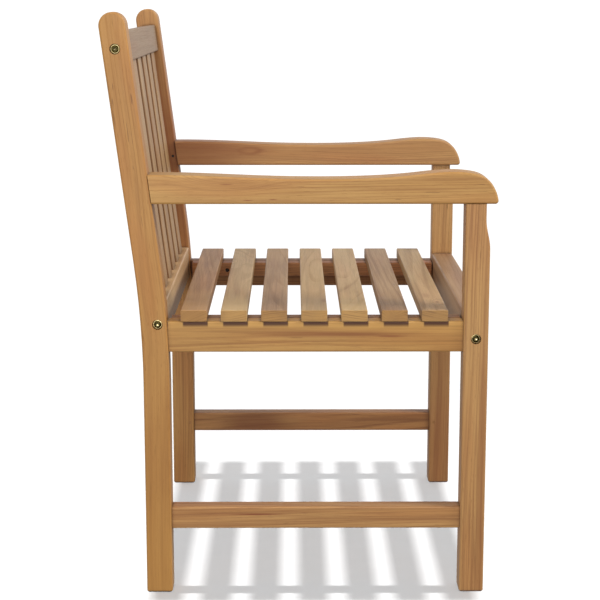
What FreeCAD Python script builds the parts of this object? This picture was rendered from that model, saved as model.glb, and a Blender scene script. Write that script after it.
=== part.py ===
"""One-seat slatted teak garden bench with arms, as separate bolted, tenoned and screwed pieces.

Frame: +Z up, X along the seat's width, the sitter faces -Y. The origin is on the floor, under the
middle of the outer box. The sitter's right is -X. All lengths are in millimetres.
Pieces are laid out with a distance s, which runs forward from the back face of the rear leg.
"""
import FreeCAD, Part
import math
import os

Vector = FreeCAD.Vector

# Overall sizes
WIDTH = 580.0                # over the outer faces of the legs
HEIGHT = 900.0               # floor to the rounded tops of the rear posts

# Legs and posts
LEG_T = 38.0                 # thickness of legs and posts across the bench
POST_D = 40.0                # depth of a rear post, front to back
FRONT_LEG_D = 38.0           # depth of a front leg, front to back
LEG_SPAN = 450.0             # clear distance between rear and front legs
RAKE = 7.25                  # backward lean of the back, degrees
BEND_Z = 335.0               # height where a rear post starts to bend back
BEND_R = 1530.0              # radius of that bend on the post's back edge
NECK_IN = 6.5                # how far the front leg's face steps back below the arm
NECK_Z = (545.0, 592.0)      # heights where that step starts and ends
LEG_EASE = 3.0               # rounding of the long edges of legs and posts
FOOT_EASE = 2.5              # chamfer round each foot

# Rails of 27 mm stock
STOCK_T = 27.0
RAIL_INSET = 6.0             # side rails stand back from the outer faces of the legs
SIDE_RAIL_Z = (386.0, 434.0)
STRETCHER_Z = (103.0, 138.0)
REAR_RAIL_Z = (402.0, 460.0)
REAR_RAIL_FRONT = 34.0       # s of the rear rail's front face
FRONT_RAIL_Z = (386.0, 448.0)
CREST_Z = 825.2              # height of the crest rail's lower front edge
CREST_H = 47.0
CREST_SETBACK = 7.0          # crest rail's front face behind the posts' front faces
RAIL_EASE = 2.5
FRONT_RAIL_EASE = 4.0        # softer edge under the sitter's knees

# Back slats
BACK_SLATS = 6
BACK_SLAT_W = 50.0
BACK_SLAT_T = 16.0
BACK_TENON_T = 9.0
BACK_TENON_W = 42.0
BACK_TENON_L = 14.0

# Seat
SEAT_SLATS = 7
SEAT_SLAT_W = 40.0
SEAT_SLAT_T = 18.0
SEAT_SLAT_L = 574.0
SEAT_GAP_REAR = 18.0         # rear leg to the first slat
SEAT_GAP_FRONT = 24.0        # last slat to the front leg
BATTEN_T = 25.0
BATTEN_H = 25.0
BATTEN_GAP = 2.0             # play at each end of a batten
SLAT_EASE = 2.0
SLAT_END_EASE = 1.0

# Arms
ARM_Z = 615.0                # flat underside
ARM_W = 45.0
ARM_EASE = 3.5               # rounding of the long edges
ARM_NOSE = 11.0              # overhang past the front leg
# (distance back from the nose, height above the underside) along the top, from the back to the nose
ARM_TOP = [(534.0, 44.0), (439.0, 42.5), (349.0, 38.8), (269.0, 37.6), (189.0, 39.2), (129.0, 43.6),
           (74.0, 48.6), (42.0, 46.8), (24.0, 42.0), (14.0, 35.0), (7.0, 25.5), (1.2, 11.5), (0.0, 5.5)]
ARM_CHIN = 4.0               # radius under the nose
ARM_CHIN_BACK = 0.5          # set-back of that radius from the nose

# Mortise and tenon joints
TENON_T = 10.0
TENON_L = 14.0
TENON_SHOULDER = 8.0         # wood above and below a rail's tenon
STRETCHER_SHOULDER = 6.0
ARM_TENON_Z = (622.0, 647.0)
LEG_TENON_H = 22.0           # leg's stub into the arm
LEG_TENON_D = 22.0
PIN_R = 2.5
PIN_BACK = 8.0               # pin's distance from the joint's face
PIN_L = 26.0
ARM_PIN_Z = 631.5
PIN_SINK = 1.0               # pins stop just below the wood

# Connector bolts, barrel nuts and dowels
BOLT_R = 3.0
BOLT_L = 70.0
BOLT_HOLE_R = 3.3
HEAD_R = 7.5
HEAD_FLANGE = 1.6
HEAD_RIM = 1.4               # rounding of the flange's rim
HEAD_DOME = 1.5              # rise of the dome over the flange
HEAD_DOME_R = 5.7
HEAD_TOP_R = 3.6             # flat round the socket's mouth
SOCKET_AF = 5.0              # hexagon key size
SOCKET_DEEP = 2.6            # to the tip of its conical floor
SOCKET_FLOOR = 20.0          # slope of that floor, degrees
SOCKET_MOUTH = (2.99, 2.64)  # radii of the bevelled mouth
RECESS_R = 7.9
RECESS_DEEP = 5.0
NUT_R = 5.0
NUT_L = 15.0
NUT_HOLE_R = 5.1
NUT_IN = 30.0                # nut's distance from the end of its rail
NUT_SLOT = (1.2, 1.0)        # width and depth of the screwdriver slot
BOLT_BORE_DEEP = 42.0        # bolt hole's depth into a rail's end
THREAD_CLEAR = 0.05
CREST_BOLT_RISE = 22.7       # above the crest rail's lower edge
REAR_BOLT = (23.0, 430.0)    # s and height
FRONT_BOLT_Z = 407.0
DOWEL_R = 4.0
DOWEL_IN_LEG = 12.0
DOWEL_IN_RAIL = 16.0
DOWEL_EDGE = 10.0            # dowel's distance from a rail's upper and lower edges

# Wood screws
SCREW_R = 2.0
SCREW_HEAD_R = 3.8
SCREW_HEAD_H = 2.2
SCREW_TIP_R = 0.5
SCREW_TIP_L = 4.0
SLAT_SCREW_L = 34.0
SLAT_SCREW_SINK = 0.5
BATTEN_SCREW_L = 38.0
BATTEN_SCREW_SINK = 5.0
BATTEN_SCREW_Z = 420.0
BATTEN_SCREW_S = (107.0, 455.0)

# Derived places
THETA = math.radians(RAKE)
HALF = WIDTH / 2
INNER = HALF - LEG_T         # inner faces of the legs
BIG = 2000.0                 # size of cutting blocks
FLAT = 0.01                  # an extent under this counts as none
LEG_BACK_S = POST_D + LEG_SPAN
LEG_FRONT_S = LEG_BACK_S + FRONT_LEG_D
NOSE_S = LEG_FRONT_S + ARM_NOSE
TOP_R = POST_D / 2
BEND_TOP = (-BEND_R + (BEND_R + POST_D) * math.cos(THETA), BEND_Z + (BEND_R + POST_D) * math.sin(THETA))
TOP_CENTRE_Z = HEIGHT - TOP_R
TOP_CENTRE_S = (-BEND_R + (BEND_R + TOP_R) * math.cos(THETA)
                - (TOP_CENTRE_Z - BEND_Z - (BEND_R + TOP_R) * math.sin(THETA)) * math.tan(THETA))
MID_S = (NOSE_S + TOP_CENTRE_S - TOP_R) / 2
RAIL_OUT = HALF - RAIL_INSET
RAIL_IN = RAIL_OUT - STOCK_T
BATTEN_IN = RAIL_IN - BATTEN_T
CREST_CENTRE = CREST_SETBACK + STOCK_T / 2
REAR_RAIL_S = REAR_RAIL_FRONT - STOCK_T / 2
SEAT_TOP = SIDE_RAIL_Z[1] + SEAT_SLAT_T
SEAT_PITCH = (LEG_SPAN - SEAT_GAP_REAR - SEAT_GAP_FRONT - SEAT_SLAT_W) / (SEAT_SLATS - 1)
BACK_GAP = (2 * INNER - BACK_SLATS * BACK_SLAT_W) / (BACK_SLATS + 1)


# ---- helpers -------------------------------------------------------------------------------------

def at(x, s, z):
    """The point at x across, s forward of the rear leg's back face, and height z."""
    return Vector(x, MID_S - s, z)


def block(x_range, s_range, z_range):
    """A plain box between pairs of x, s and z."""
    (x0, x1), (s0, s1), (z0, z1) = sorted(x_range), sorted(s_range), sorted(z_range)
    return Part.makeBox(x1 - x0, s1 - s0, z1 - z0, at(x0, s1, z0))


def ease(shape, radius, pick):
    """Round the edges that pick(edge) chooses."""
    return shape.makeFillet(radius, [edge for edge in shape.Edges if pick(edge)])


def along(axis):
    """Chooser of straight edges along 'X', 'Y' or 'Z'."""
    others = [name for name in "XYZ" if name != axis]

    def pick(edge):
        box = edge.BoundBox
        return all(getattr(box, name + "Length") < FLAT for name in others)
    return pick


def board(x_range, s_range, z_range, grain, radius, end_radius=0.0):
    """A board whose long edges, along the grain axis, are rounded, and its ends if asked."""
    shape = ease(block(x_range, s_range, z_range), radius, along(grain))
    if end_radius:
        long_edge = along(grain)
        shape = ease(shape, end_radius, lambda edge: not long_edge(edge))
    return shape


def outline(points_and_curves, x0, thickness):
    """Extrude a closed outline of edges, drawn at x0, across the bench."""
    return Part.Face(Part.Wire(points_and_curves)).extrude(Vector(thickness, 0, 0))


def line(a, b):
    return Part.LineSegment(a, b).toShape()


def arc(a, mid, b):
    return Part.Arc(a, mid, b).toShape()


def rod(radius, length, start, direction):
    return Part.makeCylinder(radius, length, start, direction)


def mirrored(shape):
    """The same piece on the other side of the bench."""
    return shape.mirror(Vector(0, 0, 0), Vector(1, 0, 0))


def both_sides(shape):
    return Part.makeCompound([shape, mirrored(shape)])


def front_face_s(z):
    """s of the straight, raked part of a post's front face at height z."""
    return BEND_TOP[0] - (z - BEND_TOP[1]) * math.tan(THETA)


def raked(x, depth, z):
    """The point at perpendicular depth behind the raked front face, beside its point at height z."""
    return at(x, front_face_s(z) - depth * math.cos(THETA), z - depth * math.sin(THETA))


RAKED_TURN = FreeCAD.Rotation(Vector(1, 0, 0), -RAKE)
UP_THE_BACK = RAKED_TURN.multVec(Vector(0, 0, 1))
INTO_THE_BACK = RAKED_TURN.multVec(Vector(0, 1, 0))
ACROSS = Vector(1, 0, 0)


def raked_block(x_range, depth_range, z, rise_range):
    """A box in the back's own raked frame, measured from its front face at height z."""
    (x0, x1), (d0, d1), (t0, t1) = x_range, depth_range, rise_range
    shape = Part.makeBox(x1 - x0, d1 - d0, t1 - t0, Vector(x0, d0, t0))
    shape.Placement = FreeCAD.Placement(raked(0, 0, z), RAKED_TURN)
    return shape


# ---- legs, posts and arms (right-hand ones, at -X) -----------------------------------------------

def post_blank():
    """Rear post: upright leg, long gentle bend, raked upper part and a fully rounded top."""
    def bend(radius_out, angle):
        return at(-HALF, -BEND_R + radius_out * math.cos(angle), BEND_Z + radius_out * math.sin(angle))

    def top(angle):
        return at(-HALF, TOP_CENTRE_S + TOP_R * math.cos(angle), TOP_CENTRE_Z + TOP_R * math.sin(angle))

    front_r = BEND_R + POST_D
    edges = [
        line(at(-HALF, 0, 0), at(-HALF, POST_D, 0)),
        line(at(-HALF, POST_D, 0), bend(front_r, 0)),
        arc(bend(front_r, 0), bend(front_r, THETA / 2), bend(front_r, THETA)),
        line(bend(front_r, THETA), top(THETA)),
        arc(top(THETA), top(THETA + math.pi / 2), top(THETA + math.pi)),
        line(top(THETA + math.pi), bend(BEND_R, THETA)),
        arc(bend(BEND_R, THETA), bend(BEND_R, THETA / 2), bend(BEND_R, 0)),
        line(bend(BEND_R, 0), at(-HALF, 0, 0)),
    ]
    return soften_leg(outline(edges, -HALF, LEG_T))


def front_leg_blank():
    """Front leg: straight, with its front face stepping softly back below the arm."""
    low, high = NECK_Z
    neck = Part.BSplineCurve()
    neck.interpolate([at(-HALF, LEG_FRONT_S, low), at(-HALF, LEG_FRONT_S - NECK_IN / 2, (low + high) / 2),
                      at(-HALF, LEG_FRONT_S - NECK_IN, high)],
                     InitialTangent=Vector(0, 0, 1), FinalTangent=Vector(0, 0, 1))
    edges = [
        line(at(-HALF, LEG_BACK_S, 0), at(-HALF, LEG_FRONT_S, 0)),
        line(at(-HALF, LEG_FRONT_S, 0), at(-HALF, LEG_FRONT_S, low)),
        neck.toShape(),
        line(at(-HALF, LEG_FRONT_S - NECK_IN, high), at(-HALF, LEG_FRONT_S - NECK_IN, ARM_Z)),
        line(at(-HALF, LEG_FRONT_S - NECK_IN, ARM_Z), at(-HALF, LEG_BACK_S, ARM_Z)),
        line(at(-HALF, LEG_BACK_S, ARM_Z), at(-HALF, LEG_BACK_S, 0)),
    ]
    leg = soften_leg(outline(edges, -HALF, LEG_T), top=ARM_Z)
    mid_x = -HALF + LEG_T / 2
    mid_s = LEG_BACK_S + (FRONT_LEG_D - NECK_IN) / 2
    stub = block((mid_x - TENON_T / 2, mid_x + TENON_T / 2),
                 (mid_s - LEG_TENON_D / 2, mid_s + LEG_TENON_D / 2),
                 (ARM_Z - LEG_EASE, ARM_Z + LEG_TENON_H))
    return leg.fuse(stub)


def soften_leg(shape, top=None):
    """Round a leg's outline edges and chamfer the foot."""
    def outline_edge(edge):
        box = edge.BoundBox
        at_foot = box.ZMax < FLAT
        at_top = top is not None and box.ZMin > top - FLAT
        return box.XLength < FLAT and not at_foot and not at_top
    shape = ease(shape, LEG_EASE, outline_edge)
    foot = [edge for edge in shape.Edges if edge.BoundBox.ZMax < FLAT]
    return shape.makeChamfer(FOOT_EASE, foot)


def arm_blank():
    """Armrest: flat underside, dipped top that swells to a rounded nose past the front leg."""
    top = [at(-HALF, NOSE_S - back, ARM_Z + up) for back, up in ARM_TOP]
    curve = Part.BSplineCurve()
    curve.interpolate(top)
    rear = at(-HALF, NOSE_S - ARM_TOP[0][0], ARM_Z)
    chin_s = NOSE_S - ARM_CHIN_BACK
    corner_cut = ARM_CHIN * (1 - math.cos(math.pi / 4))
    chin_low = at(-HALF, chin_s - ARM_CHIN, ARM_Z)
    chin_mid = at(-HALF, chin_s - corner_cut, ARM_Z + corner_cut)
    edges = [curve.toShape(), arc(top[-1], chin_mid, chin_low), line(chin_low, rear), line(rear, top[0])]
    arm = outline(edges, -HALF, ARM_W)

    # the outline runs smoothly round the nose, so one edge of each side takes the rounding all round
    arm = ease(arm, ARM_EASE, lambda edge: edge.BoundBox.XLength < FLAT and edge.BoundBox.YLength > LEG_SPAN
               and edge.BoundBox.ZMax > ARM_Z + FLAT)
    arm = arm.cut(raked_block((-BIG, BIG), (0, BIG), ARM_Z, (-BIG, BIG)))
    mid_x = -HALF + LEG_T / 2
    middle_z = sum(ARM_TENON_Z) / 2
    tenon = block((mid_x - TENON_T / 2, mid_x + TENON_T / 2),
                  (front_face_s(middle_z) - TENON_L, front_face_s(middle_z) + LEG_EASE), ARM_TENON_Z)
    return arm.fuse(tenon)


# ---- seat frame ----------------------------------------------------------------------------------

def side_member(z_range, shoulder, post):
    """Side rail or stretcher: a board scribed to the rear post, with a tenon at each end."""
    span = (POST_D - TENON_L, LEG_BACK_S)
    shape = board((-RAIL_OUT, -RAIL_IN), span, z_range, "Y", RAIL_EASE).cut(post)
    shape = max(shape.Solids, key=lambda solid: solid.Volume)
    mid_x = -(RAIL_OUT + RAIL_IN) / 2
    tenon = block((mid_x - TENON_T / 2, mid_x + TENON_T / 2),
                  (POST_D - TENON_L, LEG_BACK_S + TENON_L), (z_range[0] + shoulder, z_range[1] - shoulder))
    return shape.fuse(tenon)


def batten():
    """Seat batten: runs inside a side rail, flush with its top."""
    z_top = SIDE_RAIL_Z[1]
    return board((-RAIL_IN, -BATTEN_IN), (POST_D + BATTEN_GAP, LEG_BACK_S - BATTEN_GAP),
                 (z_top - BATTEN_H, z_top), "Y", SLAT_EASE)


def front_rail():
    return board((-INNER, INNER), (LEG_BACK_S, LEG_FRONT_S), FRONT_RAIL_Z, "X", FRONT_RAIL_EASE)


def rear_rail():
    return board((-INNER, INNER), (REAR_RAIL_FRONT - STOCK_T, REAR_RAIL_FRONT), REAR_RAIL_Z, "X", RAIL_EASE)


def crest_rail():
    shape = Part.makeBox(2 * INNER, STOCK_T, CREST_H, Vector(-INNER, CREST_SETBACK, 0))
    shape = ease(shape, RAIL_EASE, along("X"))
    shape.Placement = FreeCAD.Placement(raked(0, 0, crest_base_z()), RAKED_TURN)
    return shape


def crest_base_z():
    """Height on the posts' front face from which the crest rail rises."""
    return CREST_Z + CREST_SETBACK * math.sin(THETA)


def seat_slat_s(index):
    """s of the rear edge of a seat slat."""
    return POST_D + SEAT_GAP_REAR + index * SEAT_PITCH


def seat_slat(index):
    start = seat_slat_s(index)
    return board((-SEAT_SLAT_L / 2, SEAT_SLAT_L / 2), (start, start + SEAT_SLAT_W),
                 (SIDE_RAIL_Z[1], SEAT_TOP), "X", SLAT_EASE, SLAT_END_EASE)


def back_slat(index):
    """Back slat: shouldered tenons into the crest rail and down into the level rear rail."""
    left = -INNER + BACK_GAP + index * (BACK_GAP + BACK_SLAT_W)
    middle = left + BACK_SLAT_W / 2
    front = CREST_CENTRE - BACK_SLAT_T / 2
    fall = (crest_base_z() - REAR_RAIL_Z[1]) / math.cos(THETA) + BACK_SLAT_T
    slat = Part.makeBox(BACK_SLAT_W, BACK_SLAT_T, fall, Vector(left, front, -fall))
    slat = ease(slat, SLAT_EASE, along("Z"))
    slat.Placement = FreeCAD.Placement(raked(0, 0, crest_base_z()), RAKED_TURN)
    slat = slat.cut(block((-BIG, BIG), (-BIG, BIG), (-BIG, REAR_RAIL_Z[1])))
    half_t = BACK_TENON_T / 2
    drop = (crest_base_z() - REAR_RAIL_Z[1]) / math.cos(THETA) + BACK_TENON_L
    tenon = raked_block((middle - BACK_TENON_W / 2, middle + BACK_TENON_W / 2),
                        (CREST_CENTRE - half_t, CREST_CENTRE + half_t), crest_base_z(), (-drop, BACK_TENON_L))
    return slat.fuse(tenon)


# ---- fasteners -----------------------------------------------------------------------------------

def bolt_head(base):
    """Low domed head with a rounded flange, standing on base towards -X."""
    def rim(radius, height):
        return Vector(base.x - height, base.y - radius, base.z)

    crown = HEAD_FLANGE + HEAD_DOME
    bulge = (HEAD_TOP_R + (HEAD_DOME_R - HEAD_TOP_R) * math.cos(math.pi / 4),
             HEAD_FLANGE + HEAD_DOME * math.sin(math.pi / 4))
    rim_cut = HEAD_RIM * (1 - math.cos(math.pi / 4))
    edges = [
        line(rim(0, 0), rim(HEAD_R, 0)),
        line(rim(HEAD_R, 0), rim(HEAD_R, HEAD_FLANGE - HEAD_RIM)),
        arc(rim(HEAD_R, HEAD_FLANGE - HEAD_RIM), rim(HEAD_R - rim_cut, HEAD_FLANGE - rim_cut),
            rim(HEAD_R - HEAD_RIM, HEAD_FLANGE)),
        line(rim(HEAD_R - HEAD_RIM, HEAD_FLANGE), rim(HEAD_DOME_R, HEAD_FLANGE)),
        arc(rim(HEAD_DOME_R, HEAD_FLANGE), rim(*bulge), rim(HEAD_TOP_R, crown)),
        line(rim(HEAD_TOP_R, crown), rim(0, crown)),
        line(rim(0, crown), rim(0, 0)),
    ]
    return Part.Face(Part.Wire(edges)).revolve(base, ACROSS, 360)


def key_socket(mouth):
    """Hexagon socket with a bevelled mouth and a conical floor, sunk from mouth towards +X."""
    corner = SOCKET_AF / math.sqrt(3)
    hexagon = Part.makePolygon([mouth + Vector(0, corner * math.cos(math.radians(60 * k)),
                                               corner * math.sin(math.radians(60 * k))) for k in range(7)])
    cone_r = SOCKET_DEEP / math.tan(math.radians(SOCKET_FLOOR))
    floor = Part.makeCone(cone_r, 0, SOCKET_DEEP, mouth, ACROSS)
    wide, narrow = SOCKET_MOUTH
    bevel = Part.makeCone(wide, narrow, wide - narrow, mouth, ACROSS)
    return Part.Face(hexagon).extrude(ACROSS * SOCKET_DEEP).common(floor).fuse(bevel)


def bolt(centre):
    """Connector bolt with its head sunk in the leg, entering from -X."""
    base = Vector(-HALF + RECESS_DEEP, centre.y, centre.z)
    body = bolt_head(base).fuse(rod(BOLT_R, BOLT_L, base, ACROSS)).removeSplitter()
    return body.cut(key_socket(base - ACROSS * (HEAD_FLANGE + HEAD_DOME)))


def barrel_nut(centre, outward):
    """Cross-drilled barrel nut, slotted on the end that faces outward."""
    x = -INNER + NUT_IN
    middle = Vector(x, centre.y, centre.z)
    nut_d = 2 * NUT_R
    nut = rod(NUT_R, NUT_L, middle - outward * (NUT_L / 2), outward)
    nut = nut.cut(rod(BOLT_R + THREAD_CLEAR, nut_d, middle - ACROSS * NUT_R, ACROSS))
    width, deep = NUT_SLOT
    slot = Part.makeBox(nut_d, width, deep, Vector(-NUT_R, -width / 2, 0))
    slot.Placement = FreeCAD.Placement(middle + outward * (NUT_L / 2 - deep),
                                       FreeCAD.Rotation(Vector(0, 0, 1), outward))
    return nut.cut(slot)


def bolt_bores(centre, outward, depth):
    """What a bolted joint drills: recess and hole in the leg, hole and nut hole in the rail.

    depth is the distance from the bolt to the face where the nut hole comes out.
    """
    recess = rod(RECESS_R, RECESS_DEEP, Vector(-HALF, centre.y, centre.z), ACROSS)
    leg_hole = rod(BOLT_HOLE_R, LEG_T, Vector(-HALF, centre.y, centre.z), ACROSS)
    rail_hole = rod(BOLT_HOLE_R, BOLT_BORE_DEEP, Vector(-INNER, centre.y, centre.z), ACROSS)
    middle = Vector(-INNER + NUT_IN, centre.y, centre.z)
    nut_hole = rod(NUT_HOLE_R, NUT_L / 2 + depth, middle - outward * (NUT_L / 2), outward)
    return recess.fuse(leg_hole), rail_hole.fuse(nut_hole)


def dowel(centre, lift):
    start = Vector(-INNER - DOWEL_IN_LEG, centre.y, centre.z) + lift
    return rod(DOWEL_R, DOWEL_IN_LEG + DOWEL_IN_RAIL, start, ACROSS)


def pin(s, z):
    """Pin driven from the inner face of a leg through a tenon."""
    return rod(PIN_R, PIN_L, at(-INNER - PIN_SINK, s, z), -ACROSS)


def pin_bore(s, z):
    return rod(PIN_R, PIN_L + PIN_SINK, at(-INNER, s, z), -ACROSS)


def screw(head, direction, length):
    """Countersunk wood screw from its head's face, with a blunt cone for its point."""
    cone = Part.makeCone(SCREW_HEAD_R, SCREW_R, SCREW_HEAD_H, head, direction)
    tip_start = length - SCREW_TIP_L
    shank = rod(SCREW_R, tip_start - SCREW_HEAD_H, head + direction * SCREW_HEAD_H, direction)
    tip = Part.makeCone(SCREW_R, SCREW_TIP_R, SCREW_TIP_L, head + direction * tip_start, direction)
    return cone.fuse(shank).fuse(tip).removeSplitter()


def sunk_screw(face_point, direction, sink, length):
    """A screw sunk below a face, and the bore that takes it."""
    body = screw(face_point + direction * sink, direction, length)
    bore = body.fuse(rod(SCREW_HEAD_R, sink, face_point, direction))
    return body, bore


# ---- assembly ------------------------------------------------------------------------------------

def build():
    """Every node's shape, by name."""
    nodes = {}

    # blanks and tenoned joints
    post = post_blank()
    leg = front_leg_blank()
    arm = arm_blank()
    rail = side_member(SIDE_RAIL_Z, TENON_SHOULDER, post)
    stretcher = side_member(STRETCHER_Z, STRETCHER_SHOULDER, post)
    crest, rear, front = crest_rail(), rear_rail(), front_rail()
    slats = [back_slat(index) for index in range(BACK_SLATS)]
    crest = crest.cut(Part.makeCompound(slats))
    rear = rear.cut(Part.makeCompound(slats))
    arm = arm.cut(leg)
    post = post.cut(Part.makeCompound([arm, rail, stretcher]))
    leg = leg.cut(Part.makeCompound([rail, stretcher]))

    # pinned tenons
    rail_mid = sum(SIDE_RAIL_Z) / 2
    stretcher_mid = sum(STRETCHER_Z) / 2
    leg_pin_s = LEG_BACK_S + PIN_BACK
    post_pin_s = POST_D - PIN_BACK
    places = [(front_face_s(ARM_PIN_Z) - PIN_BACK, ARM_PIN_Z), (post_pin_s, rail_mid), (leg_pin_s, rail_mid),
              (post_pin_s, stretcher_mid), (leg_pin_s, stretcher_mid)]
    pins = [pin(s, z) for s, z in places]
    pin_bores = Part.makeCompound([pin_bore(s, z) for s, z in places])
    post, leg, arm = post.cut(pin_bores), leg.cut(pin_bores), arm.cut(pin_bores)
    rail, stretcher = rail.cut(pin_bores), stretcher.cut(pin_bores)

    # bolted rails: bolt, barrel nut and two dowels at each end
    crest_low = raked(0, CREST_CENTRE, crest_base_z())
    crest_bolt = crest_low + UP_THE_BACK * CREST_BOLT_RISE
    crest_mid = crest_low + UP_THE_BACK * (CREST_H / 2)
    rear_bolt = at(0, *REAR_BOLT)
    rear_mid = at(0, REAR_RAIL_S, sum(REAR_RAIL_Z) / 2)
    front_bolt = at(0, LEG_BACK_S + FRONT_LEG_D / 2, FRONT_BOLT_Z)
    front_mid = at(0, LEG_BACK_S + FRONT_LEG_D / 2, sum(FRONT_RAIL_Z) / 2)
    up, back = Vector(0, 0, 1), Vector(0, 1, 0)
    rear_depth = REAR_BOLT[0] - REAR_RAIL_FRONT + STOCK_T
    joints = [
        ("crest", crest, crest_bolt, crest_mid, INTO_THE_BACK, UP_THE_BACK, CREST_H, STOCK_T / 2),
        ("rear_rail", rear, rear_bolt, rear_mid, back, up, REAR_RAIL_Z[1] - REAR_RAIL_Z[0], rear_depth),
        ("front_rail", front, front_bolt, front_mid, back, up, FRONT_RAIL_Z[1] - FRONT_RAIL_Z[0],
         FRONT_LEG_D / 2),
    ]
    bored = {}
    for name, beam, centre, dowel_mid, outward, rise, height, depth in joints:
        leg_bore, rail_bore = bolt_bores(centre, outward, depth)
        lift = height / 2 - DOWEL_EDGE
        dowels = [dowel(dowel_mid, rise * lift), dowel(dowel_mid, rise * -lift)]
        beam = beam.cut(both_sides(rail_bore)).cut(both_sides(Part.makeCompound(dowels)))
        cutter = Part.makeCompound([leg_bore] + dowels)
        if name == "front_rail":
            leg = leg.cut(cutter)
        else:
            post = post.cut(cutter)
        bored[name] = beam
        nodes[name + "_bolts"] = both_sides(bolt(centre))
        nodes[name + "_barrel_nuts"] = both_sides(barrel_nut(centre, outward))
        nodes[name + "_dowels"] = both_sides(Part.makeCompound(dowels))

    # seat: slats screwed up from below through the battens, battens screwed out to the rails
    strip = batten()
    seat = [seat_slat(index) for index in range(SEAT_SLATS)]
    batten_x = -(RAIL_IN + BATTEN_IN) / 2
    batten_low = SIDE_RAIL_Z[1] - BATTEN_H
    slat_screws, slat_bores = [], []
    for index in range(SEAT_SLATS):
        body, bore = sunk_screw(at(batten_x, seat_slat_s(index) + SEAT_SLAT_W / 2, batten_low), up,
                                SLAT_SCREW_SINK, SLAT_SCREW_L)
        slat_screws.append(body)
        slat_bores.append(bore)
    batten_screws, batten_bores = [], []
    for s in BATTEN_SCREW_S:
        body, bore = sunk_screw(at(-BATTEN_IN, s, BATTEN_SCREW_Z), -ACROSS, BATTEN_SCREW_SINK, BATTEN_SCREW_L)
        batten_screws.append(body)
        batten_bores.append(bore)
    strip = strip.cut(Part.makeCompound(slat_bores)).cut(Part.makeCompound(batten_bores))
    rail = rail.cut(Part.makeCompound(batten_bores))
    for index, slat in enumerate(seat):
        nodes["seat_slat_%d" % (index + 1)] = slat.cut(both_sides(slat_bores[index]))

    for name, shape in (("rear_post", post), ("front_leg", leg), ("armrest", arm), ("side_rail", rail),
                        ("stretcher", stretcher), ("seat_batten", strip)):
        nodes["right_" + name] = shape
        nodes["left_" + name] = mirrored(shape)
    nodes["crest_rail"] = bored["crest"]
    nodes["rear_rail"] = bored["rear_rail"]
    nodes["front_rail"] = bored["front_rail"]
    for index, slat in enumerate(slats):
        nodes["back_slat_%d" % (index + 1)] = slat
    nodes["tenon_pins"] = both_sides(Part.makeCompound(pins))
    nodes["seat_slat_screws"] = both_sides(Part.makeCompound(slat_screws))
    nodes["batten_screws"] = both_sides(Part.makeCompound(batten_screws))
    return nodes


def export(nodes):
    """Write one STEP per node, as one solid or a flat group of solids."""
    os.makedirs("parts", exist_ok=True)
    for name, shape in sorted(nodes.items()):
        solids = shape.Solids
        flat = solids[0] if len(solids) == 1 else Part.makeCompound(solids)
        flat.exportStep("parts/%s.step" % name)
        print("%-24s %2d solid(s) valid=%s" % (name, len(solids), flat.isValid()))


export(build())
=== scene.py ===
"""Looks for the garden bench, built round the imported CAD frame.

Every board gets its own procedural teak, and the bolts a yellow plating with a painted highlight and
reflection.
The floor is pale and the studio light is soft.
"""

import math
import random

import bpy
from mathutils import Matrix, Vector


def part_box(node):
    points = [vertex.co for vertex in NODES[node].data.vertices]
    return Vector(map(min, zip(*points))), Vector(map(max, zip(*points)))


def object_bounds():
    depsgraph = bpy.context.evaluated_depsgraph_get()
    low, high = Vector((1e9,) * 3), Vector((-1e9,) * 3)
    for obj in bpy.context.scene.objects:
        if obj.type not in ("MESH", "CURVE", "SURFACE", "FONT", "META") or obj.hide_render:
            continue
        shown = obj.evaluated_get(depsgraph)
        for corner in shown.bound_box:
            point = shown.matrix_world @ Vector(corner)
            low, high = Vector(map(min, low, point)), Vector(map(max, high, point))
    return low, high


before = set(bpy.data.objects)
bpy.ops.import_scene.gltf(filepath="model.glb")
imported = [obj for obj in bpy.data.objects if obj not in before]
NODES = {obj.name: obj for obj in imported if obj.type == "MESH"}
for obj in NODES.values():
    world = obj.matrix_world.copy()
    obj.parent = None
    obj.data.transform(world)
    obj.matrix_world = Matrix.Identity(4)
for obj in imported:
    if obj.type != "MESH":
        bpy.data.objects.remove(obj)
CAD_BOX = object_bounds()
LOW, HIGH = CAD_BOX
MIDDLE = (LOW + HIGH) / 2


# ---------------------------------------------------------------- node helpers

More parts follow.
